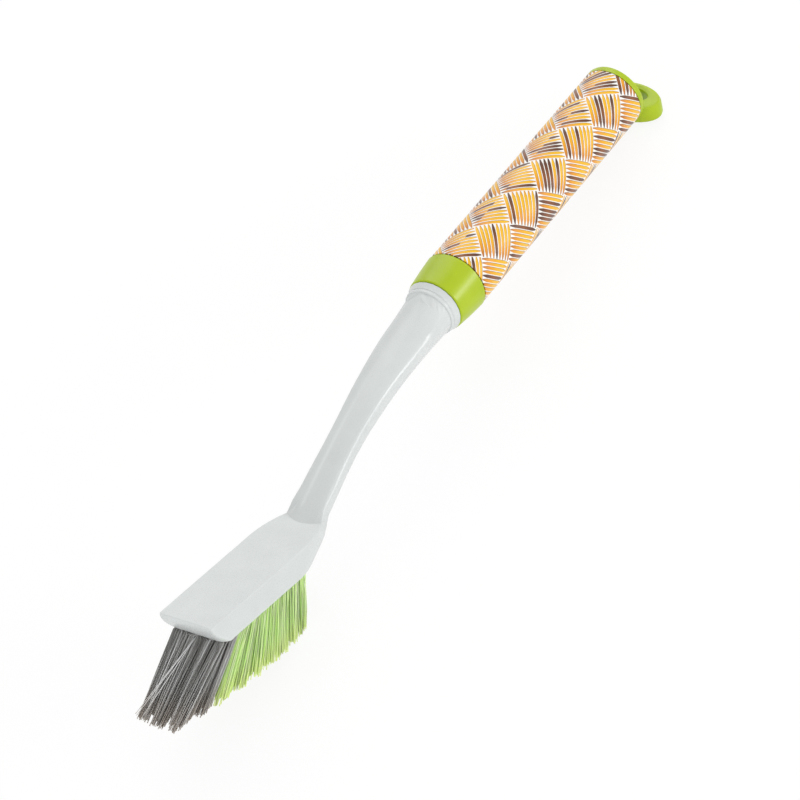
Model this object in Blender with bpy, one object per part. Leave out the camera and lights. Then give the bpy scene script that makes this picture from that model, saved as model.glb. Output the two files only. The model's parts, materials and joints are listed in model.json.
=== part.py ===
"""A hand cleaning brush, built as it is made.

The head and the curved neck are one moulding. Each tuft of bristle is folded round a flat anchor and
driven into a drilled hole in the head's base. The neck's spigot carries a collar and the handle tube.
A printed sleeve covers the tube, and a cap with a hanging eye plugs its far end.

The brush is modelled in its own frame: X runs along the head towards the handle, Y across it, and Z is
square to the head's flat top, with the origin at the middle of the front lip. The whole brush hangs
under one empty, which leans it back onto the table, on its rear bristles and the hanging eye.
"""

import math
import random

import bmesh
import bpy
from mathutils import Matrix, Vector

MM = 0.001

# Fits
GAP = 0.3 * MM  # between pieces that touch
OVERRUN = 1.0 * MM  # how far a cutter runs past the surface that it opens

# Head
HEAD_LENGTH = 61.2 * MM  # front lip to the foot of the neck, along the middle of the top
HEAD_TOP_WIDTH = 20.0 * MM
HEAD_BASE_WIDTH = 23.4 * MM  # the side walls flare downwards
HEAD_DEPTH = 8.0 * MM
LIP_THICKNESS = 0.6 * MM  # the front stands straight this far down, then draws back as a chin
LIP_EDGE_RADIUS = 0.4 * MM
LIP_CORNER_RADIUS = 0.7 * MM  # the top's front corners, seen from above
CHIN_SETBACK = 4.8 * MM  # how far the base stands back under the lip
CHIN_CURVE = 1.6
BASE_CORNER_RADIUS = 4.0 * MM  # the base's front corners, seen from below
TOP_EDGE_RADIUS = 0.5 * MM
BASE_EDGE_RADIUS = 0.8 * MM
BASE_REAR_RADIUS = 2.8 * MM  # the base's edge, where the head runs into the neck
SHOULDER_LENGTH = 16.3 * MM  # the top narrows to the neck over this length
SHOULDER_WIDTH = 13.6 * MM  # the top, where the neck begins
SHOULDER_CURVE = 2.0
BASE_TAPER_LENGTH = 16.0 * MM  # the base narrows to the neck over this length
BASE_TAPER_CURVE = 1.5
BASE_REAR_WIDTH = 14.6 * MM
BASE_RISE_LENGTH = 9.0 * MM  # the base turns up towards the neck over this length
BASE_RISE = 1.2 * MM
FOOT_LEAN = 3.0 * MM  # the last section of the head leans back by this much at its base
FOOT_BOW = 3.1 * MM  # the crease at the foot of the neck bows forward by this much
CHIN_STEPS = 5
LIP_STEP_SHARES = (0.0, 0.12, 0.4, 1.0)  # where the lip's rounding has its sections
TURN_STEP_SHARES = (0.12, 0.35, 0.65, 1.0)  # and the base's front corners
SHARP_RADIUS = 0.05 * MM
TAPER_STEPS = 7

# Neck
NECK_FOOT_ANGLE = math.radians(34.0)
HANDLE_ANGLE = math.radians(10.9)  # the handle's slope above the head's top
NECK_REACH = 70.9 * MM  # along X, from the neck's first section to its last
NECK_RISE = 32.87 * MM
NECK_START = 7.3 * MM  # the neck's first section stands this far behind the foot
NECK_START_RISE = 0.9 * MM  # and its middle lies this far above the top
NECK_END_DIAMETER = 16.9 * MM
NECK_STEPS = 18
NECK_FOOT_HANDLE_SHARE = 0.48  # how long the spine keeps its first direction, of the reach
NECK_END_HANDLE_SHARE = 0.26  # and its last
# Width, depth, upper and lower edge radius along the neck, as shares of its end diameter.
NECK_WIDTH_SHARES = (0.73, 0.61, 0.72, 0.88, 1.0)
NECK_DEPTH_SHARES = (0.36, 0.42, 0.54, 0.76, 1.0)
NECK_TOP_RADIUS_SHARES = (0.04, 0.05, 0.11, 0.30, 0.5)
NECK_BASE_RADIUS_SHARES = (0.17, 0.18, 0.23, 0.35, 0.5)

# Shoulder ring and spigot, at the end of the neck
RING_DIAMETER = 19.6 * MM  # at its rim, under the collar
RING_LENGTH = 3.6 * MM
# The ring's profile from the neck up: a bead, a groove, a cove and the rim.
RING_STEP_SHARES = (0.0, 0.08, 0.22, 0.31, 0.37, 0.44, 0.66, 0.87, 0.94, 1.0)
RING_WIDTH_SHARES = (0.9, 0.918, 0.918, 0.893, 0.893, 0.918, 0.94, 0.985, 1.0, 0.985)
SPIGOT_PLAY = GAP
SPIGOT_LENGTH = 30.0 * MM
SPIGOT_CHAMFER = 1.0 * MM

# Handle tube, its printed sleeve and the collar
SLEEVE_DIAMETER = 22.0 * MM
SLEEVE_WALL = 0.5 * MM
TUBE_WALL = 1.5 * MM
TUBE_LENGTH = 97.5 * MM
COLLAR_FOOT_DIAMETER = 20.1 * MM
COLLAR_TOP_DIAMETER = 22.4 * MM
COLLAR_LENGTH = 12.6 * MM
COLLAR_EDGE_RADIUS = 0.4 * MM
COLLAR_BELLY_SHARE = 0.6  # halfway along, the collar has widened by this share
TURNED_SIDES = 48

# End cap with the hanging eye
FLANGE_DIAMETER = 22.0 * MM
FLANGE_LENGTH = 2.5 * MM
FLANGE_EDGE_RADIUS = 0.9 * MM
CAP_DOME = 1.6 * MM
DOME_RADIUS_SHARES = (0.0, 0.45, 0.75)  # the dome's profile, from its middle outwards
DOME_RISE_SHARES = (1.0, 0.8, 0.42)
PLUG_LENGTH = 12.0 * MM
EYE_WIDTH = 24.2 * MM
EYE_LENGTH = 13.8 * MM
EYE_THICKNESS = 6.5 * MM
EYE_BITE = 0.9 * MM  # how far the eye's near side runs into the flange
EYE_DROP = 8.65 * MM  # the eye's mid plane, below the handle's axis
EYE_EDGE_RADIUS = 1.4 * MM
EYE_HOLE_WIDTH = 12.8 * MM
EYE_HOLE_LENGTH = 6.0 * MM
EYE_HOLE_SHIFT = 1.0 * MM  # the hole lies this far beyond the eye's middle
EYE_SIDES = 40
WEB_WIDTH = 9.0 * MM
WEB_LENGTH = 3.4 * MM
WEB_HEIGHT = 7.5 * MM

# Tufts, their holes and their anchors
TUFTS_PER_ROW = 9
ROW_START = 8.1 * MM  # the first tuft of an outer row, from the lip
MIDDLE_ROW_LEAD = 0.6 * MM  # the middle row starts this far ahead of the outer rows
ROW_PITCH = 5.0 * MM
ROW_SPACING = 7.8 * MM  # between the middle row and each outer row
FIRST_TUFT_INSET = 0.4 * MM  # the outer rows' first tufts stand in, round the base's corner
GREY_TUFTS_SHARE = 0.24  # the front of each row, in grey bristle
HOLE_DIAMETER = 2.4 * MM
HOLE_DEPTH = 4.7 * MM
HOLE_SIDES = 12
ANCHOR_THICKNESS = 0.3 * MM
ANCHOR_HEIGHT = 1.1 * MM
ANCHOR_DEPTH = 1.9 * MM  # the anchor's outer edge, down the hole
BOUND_LENGTH = 0.5 * MM  # each tuft stays bound together this far out of its hole
TIP_DEPTH_FRONT = 18.8 * MM  # the bristles' tips, below the base
TIP_DEPTH_CURVE = 0.5
TIP_DEPTH_REAR = 19.8 * MM
LEAN_FRONT = 24.5 * MM  # how far the front tips reach ahead of their holes
LEAN_REAR = 2.0 * MM
LEAN_FALL = 1.5  # how fast that reach falls off towards the rear
SPLAY = 1.2 * MM  # how far the outer rows' tips spread sideways
TIP_SPREAD = 9.6 * MM  # the width of one tuft's tips, across the head
TIP_FILL_SHARE = 1.15  # and along it, of the pitch of the tips
TIP_FRONT_SHARE = 0.66  # the front tufts' tips draw in to this share of the width
TIP_FRONT_REACH_SHARE = 0.4  # over this share of the rows
TIP_REAR_SHARE = 0.8  # and the rear ones to this share
TIP_REAR_REACH_SHARE = 0.5
STRAND_THICKNESS = 0.34 * MM
STRAND_JITTER = 0.12 * MM
STRAND_LENGTH_JITTER = 0.5 * MM
STRANDS_ACROSS = 4
STRAND_SEED = 11

CORNER_POINTS = 6
FLAT_POINTS = 5  # across the top and the base, between their corners
REST_PASSES = 12

# What follows from these sizes
BORE_DIAMETER = SLEEVE_DIAMETER - 2 * (SLEEVE_WALL + GAP + TUBE_WALL)
TUBE_DIAMETER = SLEEVE_DIAMETER - 2 * (SLEEVE_WALL + GAP)
SPIGOT_DIAMETER = BORE_DIAMETER - 2 * SPIGOT_PLAY
TUFT_DIAMETER = HOLE_DIAMETER - 2 * GAP
ALONG_HANDLE = Vector((math.cos(HANDLE_ANGLE), 0.0, math.sin(HANDLE_ANGLE)))


def smooth(t):
    """Eases from 0 to 1."""
    t = min(max(t, 0.0), 1.0)
    return t * t * (3 - 2 * t)


def mix(a, b, t):
    return a + (b - a) * t


def along(shares, t):
    """A smooth curve through evenly spaced values."""
    last = len(shares) - 1
    step = min(int(t * last), last - 1)
    t = t * last - step
    before = shares[max(step - 1, 0)]
    a, b = shares[step], shares[step + 1]
    after = shares[min(step + 2, last)]
    slope_a, slope_b = (b - before) / 2, (after - a) / 2
    return (
        a * (1 - t) ** 2 * (1 + 2 * t)
        + b * t**2 * (3 - 2 * t)
        + slope_a * t * (1 - t) ** 2
        - slope_b * t**2 * (1 - t)
    )


def material(name, colour, roughness, metallic=0.0):
    made = bpy.data.materials.new(name)
    made.use_nodes = True
    shader = made.node_tree.nodes["Principled BSDF"]
    shader.inputs["Base Color"].default_value = (*colour, 1.0)
    shader.inputs["Roughness"].default_value = roughness
    shader.inputs["Metallic"].default_value = metallic
    made.diffuse_color = (*colour, 1.0)
    return made


def new_object(name, form, finish, parent):
    """A named object from a finished bmesh, hung under its parent."""
    bmesh.ops.recalc_face_normals(form, faces=form.faces)
    mesh = bpy.data.meshes.new(name)
    form.to_mesh(mesh)
    form.free()
    mesh.shade_smooth()
    mesh.set_sharp_from_angle(angle=math.radians(35))
    made = bpy.data.objects.new(name, mesh)
    if finish:
        mesh.materials.append(finish)
    bpy.context.scene.collection.objects.link(made)
    made.parent = parent
    return made


def as_helper(obj):
    obj.hide_render = True
    obj.display_type = "WIRE"
    return obj


def boolean(obj, operation, other):
    change = obj.modifiers.new(other.name, "BOOLEAN")
    change.operation = operation
    change.solver = "EXACT"
    change.object = other


def empty(name, parent=None):
    made = bpy.data.objects.new(name, None)
    bpy.context.scene.collection.objects.link(made)
    made.parent = parent
    return made


def corner(half, edge, radius, inwards):
    """A rounded corner of a section, as (y, z), from its side to its top or base."""
    points = []
    for step in range(CORNER_POINTS):
        angle = (step + 0.5) / CORNER_POINTS * math.pi / 2
        y = half - radius + radius * math.cos(angle)
        points.append((y, edge + inwards * radius * (1 - math.sin(angle))))
    return points


def section(high, low):
    """The outline of one section from its upper and lower corners at +Y, with points across its flats."""
    points = list(high)
    for this, after in ((high, low), (low, high)):
        side = 1 if this is high else -1
        half, edge = this[-1]
        if side < 0:
            points += [(-y, z) for y, z in this]
        for step in range(1, FLAT_POINTS + 1):
            points.append((side * half * (1 - 2 * step / (FLAT_POINTS + 1)), edge))
        if side > 0:
            points += [(-y, z) for y, z in reversed(this)]
        else:
            points += list(reversed(this))
    return points


def chin(t):
    """The chin's level, the half width and the corner radius there, from the lip (0) to the base (1)."""
    level = -mix(LIP_THICKNESS, HEAD_DEPTH, t ** (1 / CHIN_CURVE))
    half = mix(HEAD_TOP_WIDTH, HEAD_BASE_WIDTH, -level / HEAD_DEPTH) / 2
    return level, half, mix(LIP_CORNER_RADIUS, BASE_CORNER_RADIUS, t)


def nose_corner(x):
    """The lower corner of a section through the chin, where the side wall turns into the front."""
    full_turn = CHIN_SETBACK + BASE_CORNER_RADIUS - LIP_CORNER_RADIUS
    t_side = max((x - LIP_CORNER_RADIUS) / full_turn, 0.0)
    t_base = min(x / CHIN_SETBACK, 1.0)
    points = []
    for step in range(CORNER_POINTS):
        t = mix(t_side, t_base, 1 - (1 - step / (CORNER_POINTS - 1)) ** 2)
        level, half, radius = chin(t)
        turned_by = 1 - (x - CHIN_SETBACK * t) / radius
        points.append((half - radius + radius * math.sqrt(max(1 - turned_by**2, 0.0)), level))
    return points


def top_half_at(x):
    in_lip = max(LIP_CORNER_RADIUS - x, 0.0)
    lip_cut = LIP_CORNER_RADIUS - math.sqrt(LIP_CORNER_RADIUS**2 - in_lip**2)
    start = HEAD_LENGTH + FOOT_BOW - SHOULDER_LENGTH
    narrowed = min(max((x - start) / SHOULDER_LENGTH, 0.0), 1.0) ** SHOULDER_CURVE
    return mix(HEAD_TOP_WIDTH / 2 - lip_cut, SHOULDER_WIDTH / 2, narrowed)


def lower_corner(x):
    """The lower corner of a section, behind the chin."""
    tapered = max((x - HEAD_LENGTH) / BASE_TAPER_LENGTH + 1, 0.0) ** BASE_TAPER_CURVE
    half = mix(HEAD_BASE_WIDTH, BASE_REAR_WIDTH, min(tapered, 1.0)) / 2
    base = BASE_RISE * smooth((x - HEAD_LENGTH) / BASE_RISE_LENGTH + 1) - HEAD_DEPTH
    return corner(half, base, mix(BASE_EDGE_RADIUS, BASE_REAR_RADIUS, smooth(tapered)), 1)


def head_sections():
    """Sections of the head, square to its length, from the lip to the foot of the neck."""
    lip = [LIP_EDGE_RADIUS * share for share in LIP_STEP_SHARES]
    in_chin = [
        mix(LIP_CORNER_RADIUS, CHIN_SETBACK, step / (CHIN_STEPS - 1))
        for step in range(CHIN_STEPS)
    ]
    turn = [CHIN_SETBACK + BASE_CORNER_RADIUS * share for share in TURN_STEP_SHARES]
    taper = [
        HEAD_LENGTH - BASE_TAPER_LENGTH * (1 - step / TAPER_STEPS)
        for step in range(TAPER_STEPS + 1)
    ]
    for x in (*lip, *in_chin, *turn, *taper):
        bow = FOOT_BOW * smooth((x - HEAD_LENGTH) / NECK_START + 1)
        lean = FOOT_LEAN * smooth((x - HEAD_LENGTH) / BASE_RISE_LENGTH + 1)
        top_half = top_half_at(x + bow)
        in_edge = max(LIP_EDGE_RADIUS - x, 0.0)
        nose = LIP_EDGE_RADIUS - math.sqrt(LIP_EDGE_RADIUS**2 - in_edge**2)
        edge = max(TOP_EDGE_RADIUS - nose, SHARP_RADIUS)
        if x == 0:
            low = corner(top_half, -LIP_THICKNESS, SHARP_RADIUS, 1)
        elif x < CHIN_SETBACK + BASE_CORNER_RADIUS:
            low = nose_corner(x)
        else:
            low = lower_corner(x)
        base = low[-1][1]
        yield [
            Vector((x + lean * z / base + bow * (y / top_half) ** 2 * (1 - z / base), y, z))
            for y, z in section(corner(top_half, -nose, edge, -1), low)
        ]


def neck_spine(t):
    """A point on the neck's middle line and its direction there."""
    start = Vector((HEAD_LENGTH + NECK_START, 0.0, NECK_START_RISE))
    end = start + Vector((NECK_REACH, 0.0, NECK_RISE))
    foot_way = Vector((math.cos(NECK_FOOT_ANGLE), 0.0, math.sin(NECK_FOOT_ANGLE)))
    a = start + foot_way * NECK_REACH * NECK_FOOT_HANDLE_SHARE
    b = end - ALONG_HANDLE * NECK_REACH * NECK_END_HANDLE_SHARE
    point = start * (1 - t) ** 3 + a * 3 * t * (1 - t) ** 2 + b * 3 * t**2 * (1 - t) + end * t**3
    way = (a - start) * (1 - t) ** 2 + (b - a) * 2 * t * (1 - t) + (end - b) * t**2
    return point, way.normalized()


def neck_sections():
    """Sections of the neck, square to its spine."""
    for step in range(NECK_STEPS + 1):
        t = step / NECK_STEPS
        point, way = neck_spine(t)
        rise = Vector((-way.z, 0.0, way.x))
        half = NECK_END_DIAMETER * along(NECK_WIDTH_SHARES, t) / 2
        depth = NECK_END_DIAMETER * along(NECK_DEPTH_SHARES, t) / 2
        top_radius = NECK_END_DIAMETER * along(NECK_TOP_RADIUS_SHARES, t)
        base_radius = NECK_END_DIAMETER * along(NECK_BASE_RADIUS_SHARES, t)
        high = corner(half, depth, top_radius, -1)
        outline = section(high, corner(half, -depth, min(base_radius, depth), 1))
        yield [point + rise * z + Vector((0.0, y, 0.0)) for y, z in outline]


def ring_sections():
    """Round sections past the neck: the ring, and the spigot for the collar and tube."""
    end, way = neck_spine(1.0)
    rise = Vector((-way.z, 0.0, way.x))
    spigot_end = RING_LENGTH + SPIGOT_LENGTH
    steps = [
        (RING_LENGTH * share, RING_DIAMETER * width / 2)
        for share, width in zip(RING_STEP_SHARES, RING_WIDTH_SHARES)
    ]
    steps += [
        (RING_LENGTH, SPIGOT_DIAMETER / 2),
        (spigot_end - SPIGOT_CHAMFER, SPIGOT_DIAMETER / 2),
        (spigot_end, SPIGOT_DIAMETER / 2 - SPIGOT_CHAMFER),
    ]
    for far, radius in steps:
        outline = section(corner(radius, radius, radius, -1), corner(radius, -radius, radius, 1))
        yield [end + way * far + rise * z + Vector((0.0, y, 0.0)) for y, z in outline]


def head_and_neck(finish, parent):
    """One loft through every section, closed at the lip and at the spigot's end."""
    form = bmesh.new()
    rings = [
        [form.verts.new(point) for point in ring]
        for ring in (*head_sections(), *neck_sections(), *ring_sections())
    ]
    for ring, after in zip(rings, rings[1:]):
        for i, vertex in enumerate(ring):
            j = (i + 1) % len(ring)
            form.faces.new((vertex, ring[j], after[j], after[i]))
    form.faces.new(rings[0])
    form.faces.new(rings[-1])
    return new_object("head_and_neck", form, finish, parent)


def turned(name, profile, finish, parent, closed=True):
    """A turned piece: its profile, as (radius, height) down the outside, swept round the axis."""
    form = bmesh.new()
    points = [form.verts.new((radius, 0.0, height)) for radius, height in profile]
    for a, b in zip(points, points[1:]):
        form.edges.new((a, b))
    if closed:
        form.edges.new((points[-1], points[0]))
    made = new_object(name, form, finish, parent)
    sweep = made.modifiers.new("Turn", "SCREW")
    sweep.steps = TURNED_SIDES
    sweep.render_steps = TURNED_SIDES
    sweep.use_merge_vertices = True
    sweep.merge_threshold = GAP / 100
    sweep.use_smooth_shade = True
    return made


def collar(finish, parent):
    foot, top = COLLAR_FOOT_DIAMETER / 2, COLLAR_TOP_DIAMETER / 2
    bore = BORE_DIAMETER / 2
    edge = COLLAR_EDGE_RADIUS
    belly = mix(foot, top, COLLAR_BELLY_SHARE)
    profile = (
        (bore, COLLAR_LENGTH),
        (top - edge, COLLAR_LENGTH),
        (top, COLLAR_LENGTH - edge),
        (belly, COLLAR_LENGTH / 2),
        (foot, edge),
        (foot - edge, 0.0),
        (bore, 0.0),
    )
    return turned("collar", profile, finish, parent)


def pipe(name, outer, wall, low, high, finish, parent):
    profile = (
        (outer - wall, high),
        (outer, high),
        (outer, low),
        (outer - wall, low),
    )
    return turned(name, profile, finish, parent)


def eye_ring(parent):
    """The hanging eye: a flat oval plate with an oval hole, its edges rounded."""
    form = bmesh.new()
    middle = FLANGE_LENGTH - EYE_BITE + EYE_LENGTH / 2
    low, high = EYE_DROP - EYE_THICKNESS / 2, EYE_DROP + EYE_THICKNESS / 2
    edge = EYE_EDGE_RADIUS
    rings = []
    for shrink, level in (
        (edge, low),
        (edge * (1 - math.sqrt(0.5)), low + edge * (1 - math.sqrt(0.5))),
        (0.0, low + edge),
        (0.0, high - edge),
        (edge * (1 - math.sqrt(0.5)), high - edge * (1 - math.sqrt(0.5))),
        (edge, high),
    ):
        for inner in (False, True):
            half_width = EYE_HOLE_WIDTH / 2 + shrink if inner else EYE_WIDTH / 2 - shrink
            half_length = EYE_HOLE_LENGTH / 2 + shrink if inner else EYE_LENGTH / 2 - shrink
            shift = EYE_HOLE_SHIFT if inner else 0.0
            ring = []
            for step in range(EYE_SIDES):
                angle = 2 * math.pi * step / EYE_SIDES
                across = half_width * math.sin(angle)
                far = middle + shift + half_length * math.cos(angle)
                ring.append(form.verts.new((level, across, far)))
            rings.append(ring)
    outer, inner = rings[0::2], rings[1::2]
    loop = [*outer, *reversed(inner)]
    for ring, after in zip(loop, [*loop[1:], loop[0]]):
        for i, vertex in enumerate(ring):
            j = (i + 1) % len(ring)
            form.faces.new((vertex, ring[j], after[j], after[i]))
    return as_helper(new_object("eye_ring", form, None, parent))


def eye_web(parent):
    """A wedge in the corner between the cap's end and the eye."""
    form = bmesh.new()
    root = FLANGE_LENGTH - EYE_BITE
    low = EYE_DROP
    corners = ((low, root), (low, FLANGE_LENGTH + WEB_LENGTH), (low - WEB_HEIGHT, root))
    sides = [
        [form.verts.new((down, across, far)) for down, far in corners]
        for across in (-WEB_WIDTH / 2, WEB_WIDTH / 2)
    ]
    for side in sides:
        form.faces.new(side)
    for i in range(len(corners)):
        j = (i + 1) % len(corners)
        form.faces.new((sides[0][i], sides[0][j], sides[1][j], sides[1][i]))
    return as_helper(new_object("eye_web", form, None, parent))


def end_cap(finish, parent):
    """A plug and a flange, turned in one, with the hanging eye moulded on behind the flange."""
    rim, plug = FLANGE_DIAMETER / 2, BORE_DIAMETER / 2 - GAP
    edge = FLANGE_EDGE_RADIUS
    near = edge * (1 - math.sqrt(0.5))
    dome = [
        (rim * out, FLANGE_LENGTH + CAP_DOME * rise)
        for out, rise in zip(DOME_RADIUS_SHARES, DOME_RISE_SHARES)
    ]
    profile = (
        *dome,
        (rim - edge, FLANGE_LENGTH),
        (rim - near, FLANGE_LENGTH - near),
        (rim, FLANGE_LENGTH - edge),
        (rim, 0.0),
        (plug, 0.0),
        (plug, edge - PLUG_LENGTH),
        (plug - edge, -PLUG_LENGTH),
        (0.0, -PLUG_LENGTH),
    )
    made = turned("end_cap", profile, finish, parent, closed=False)
    boolean(made, "UNION", eye_ring(parent))
    boolean(made, "UNION", eye_web(parent))
    return made


def tip_of(x):
    """Where the tips of a tuft rooted at x lie along the head."""
    rest = max((TUFTS_PER_ROW - 1) * ROW_PITCH + ROW_START - x, 0.0)
    rest /= (TUFTS_PER_ROW - 1) * ROW_PITCH
    return x - mix(LEAN_REAR, LEAN_FRONT, rest**LEAN_FALL)


def tuft_places():
    """Each tuft's root on the base, the middle of its tips, the room they have, and its colour."""
    for row in (-1, 0, 1):
        for place in range(TUFTS_PER_ROW):
            share = place / (TUFTS_PER_ROW - 1)
            x = ROW_START + ROW_PITCH * place
            if row == 0:
                x -= MIDDLE_ROW_LEAD * (1 - share)
            inset = FIRST_TUFT_INSET if place == 0 else 0.0
            draw_in = mix(TIP_FRONT_SHARE, 1.0, smooth(share / TIP_FRONT_REACH_SHARE))
            draw_in *= mix(TIP_REAR_SHARE, 1.0, smooth((1 - share) / TIP_REAR_REACH_SHARE))
            tip_y = row * (ROW_SPACING + SPLAY) * draw_in
            tip_z = -HEAD_DEPTH - mix(TIP_DEPTH_FRONT, TIP_DEPTH_REAR, share**TIP_DEPTH_CURVE)
            root = Vector((x, row * (ROW_SPACING - inset), -HEAD_DEPTH))
            tip = Vector((tip_of(x), tip_y, tip_z))
            room = tip_of(x + ROW_PITCH / 2) - tip_of(x - ROW_PITCH / 2)
            grey = (place + 0.5) / TUFTS_PER_ROW < GREY_TUFTS_SHARE
            yield root, tip, (room * TIP_FILL_SHARE, TIP_SPREAD * draw_in), grey


def tuft_frame(root, tip):
    """Local Z runs out of the hole to the tips, and local Y across the head."""
    out = (tip - root).normalized()
    ahead = Vector((0.0, 1.0, 0.0)).cross(out).normalized()
    return Matrix.Translation(root) @ Matrix((ahead, out.cross(ahead), out)).transposed().to_4x4()


def box(form, frame, half_x, half_y, low, high):
    corners = [
        form.verts.new(frame @ Vector((x, y, z)))
        for z in (low, high)
        for x, y in ((-half_x, -half_y), (half_x, -half_y), (half_x, half_y), (-half_x, half_y))
    ]
    low_face, high_face = corners[:4], corners[4:]
    form.faces.new(low_face[::-1])
    form.faces.new(high_face)
    for i in range(4):
        j = (i + 1) % 4
        form.faces.new((low_face[i], low_face[j], high_face[j], high_face[i]))


def drill(form, frame, low, high):
    """One drilled hole, as a cutter."""
    rings = []
    for level in (low, high):
        ring = []
        for step in range(HOLE_SIDES):
            angle = 2 * math.pi * (step + 0.5) / HOLE_SIDES
            radius = HOLE_DIAMETER / 2
            ring.append(
                form.verts.new(
                    frame @ Vector((radius * math.cos(angle), radius * math.sin(angle), level))
                )
            )
        rings.append(ring)
    form.faces.new(rings[0][::-1])
    form.faces.new(rings[1])
    for i in range(HOLE_SIDES):
        j = (i + 1) % HOLE_SIDES
        form.faces.new((rings[0][i], rings[0][j], rings[1][j], rings[1][i]))


def clear_of_base(frame):
    """How far along a slanted hole its rim reaches, on the long side."""
    out = frame.to_3x3() @ Vector((0.0, 0.0, 1.0))
    return HOLE_DIAMETER / 2 * math.hypot(out.x, out.y) / abs(out.z)


def tuft(name, frame, tip, room, finish, parent, rolls):
    """One tuft: a round root, and strands that open out from a grid of cells on its end."""
    form = bmesh.new()
    start = clear_of_base(frame) + BOUND_LENGTH
    cells = STRANDS_ACROSS
    grid = []
    for row in range(cells + 1):
        line = []
        for column in range(cells + 1):
            u, v = 2 * column / cells - 1, 2 * row / cells - 1
            across = u * math.sqrt(1 - v * v / 2) * TUFT_DIAMETER / 2
            up = v * math.sqrt(1 - u * u / 2) * TUFT_DIAMETER / 2
            line.append(form.verts.new((across, up, start)))
        grid.append(line)
    faces = [
        form.faces.new((grid[r][c], grid[r][c + 1], grid[r + 1][c + 1], grid[r + 1][c]))
        for r in range(cells)
        for c in range(cells)
    ]
    rim = [
        *grid[0][:-1],
        *(line[-1] for line in grid[:-1]),
        *grid[-1][:0:-1],
        *(line[0] for line in grid[:0:-1]),
    ]
    root_end = GAP - HOLE_DEPTH
    foot = [form.verts.new((corner.co.x, corner.co.y, root_end)) for corner in rim]
    for i, corner in enumerate(rim):
        j = (i + 1) % len(rim)
        form.faces.new((foot[i], foot[j], rim[j], corner))
    form.faces.new(foot[::-1])

    strands = bmesh.ops.extrude_discrete_faces(form, faces=faces)["faces"]
    into_frame = frame.inverted()
    half = STRAND_THICKNESS / 2
    for index, strand in enumerate(strands):
        r, c = divmod(index, cells)
        u, v = (2 * c + 1) / cells - 1, (2 * r + 1) / cells - 1
        place = Vector(
            (
                -u * math.sqrt(1 - v * v / 2) * room[0] / 2,
                v * math.sqrt(1 - u * u / 2) * room[1] / 2,
                rolls.uniform(-1, 1) * STRAND_LENGTH_JITTER,
            )
        )
        stray = Vector([rolls.uniform(-1, 1) * STRAND_JITTER for _ in range(3)])
        end = into_frame @ (tip + place + stray)
        for corner, (side, rise) in zip(strand.verts, ((-1, -1), (1, -1), (1, 1), (-1, 1))):
            corner.co = end + Vector((side * half, rise * half, 0.0))
    made = new_object(name, form, finish, parent)
    made.matrix_local = frame
    return made


def tufts_and_anchors(head, finishes, parent):
    """Drills the base, and fills each hole with its tuft and the anchor that the tuft is folded round."""
    rolls = random.Random(STRAND_SEED)
    holes, slots = bmesh.new(), bmesh.new()
    slot_low = -ANCHOR_DEPTH - ANCHOR_HEIGHT
    made = []
    for number, (root, tip, room, grey) in enumerate(tuft_places(), start=1):
        frame = tuft_frame(root, tip)
        drill(holes, frame, -HOLE_DEPTH, clear_of_base(frame) + OVERRUN)
        half_slot = ANCHOR_THICKNESS / 2 + GAP
        box(slots, frame, half_slot, HOLE_DIAMETER, slot_low - GAP, GAP - ANCHOR_DEPTH)
        kind = "grey" if grey else "green"
        made.append(
            tuft(f"{kind}_tuft_{number:02d}", frame, tip, room, finishes[kind], parent, rolls)
        )
        blade = bmesh.new()
        box(blade, Matrix(), ANCHOR_THICKNESS / 2, TUFT_DIAMETER / 2, slot_low, -ANCHOR_DEPTH)
        anchor = new_object(f"anchor_{number:02d}", blade, finishes["anchor"], parent)
        anchor.matrix_local = frame
    boolean(head, "DIFFERENCE", as_helper(new_object("tuft_holes", holes, None, parent)))
    slot_cutter = as_helper(new_object("anchor_slots", slots, None, parent))
    for each in made:
        boolean(each, "DIFFERENCE", slot_cutter)
    return made


def points_of(objects):
    """Every point of these objects in the brush's own frame, while the rest empty is still unturned."""
    bpy.context.view_layer.update()
    graph = bpy.context.evaluated_depsgraph_get()
    found = []
    for obj in objects:
        seen = obj.evaluated_get(graph)
        found += [seen.matrix_world @ vertex.co for vertex in seen.to_mesh().vertices]
        seen.to_mesh_clear()
    return found


def lay_down(at_rest, front, rear, everything):
    """Leans the brush back until its rear bristles and its eye lie on one level, and sets it on the table."""
    tilt = 0.0
    for _ in range(REST_PASSES):
        turn = Matrix.Rotation(tilt, 3, "Y")
        low_front = min((turn @ point for point in front), key=lambda p: p.z)
        low_rear = min((turn @ point for point in rear), key=lambda p: p.z)
        tilt += math.atan2(low_rear.z - low_front.z, low_rear.x - low_front.x)
    turn = Matrix.Rotation(tilt, 3, "Y")
    lying = [turn @ point for point in everything]
    low = [min(point[axis] for point in lying) for axis in range(3)]
    high = [max(point[axis] for point in lying) for axis in range(3)]
    at_rest.rotation_euler = (0.0, tilt, 0.0)
    at_rest.location = (-(low[0] + high[0]) / 2, -(low[1] + high[1]) / 2, -low[2])


for left_over in list(bpy.data.objects):
    bpy.data.objects.remove(left_over, do_unlink=True)

moulded_grey = material("head_polypropylene", (0.70, 0.72, 0.72), 0.34)
lime = material("lime_polypropylene", (0.46, 0.62, 0.02), 0.38)
white = material("tube_polypropylene", (0.80, 0.80, 0.79), 0.45)
print_film = material("printed_film", (0.72, 0.47, 0.22), 0.30)
bristle = {
    "grey": material("grey_bristle", (0.20, 0.19, 0.17), 0.45),
    "green": material("green_bristle", (0.30, 0.62, 0.06), 0.42),
    "anchor": material("anchor_wire", (0.60, 0.58, 0.54), 0.35, metallic=1.0),
}

at_rest = empty("at_rest")
head = head_and_neck(moulded_grey, at_rest)

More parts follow.
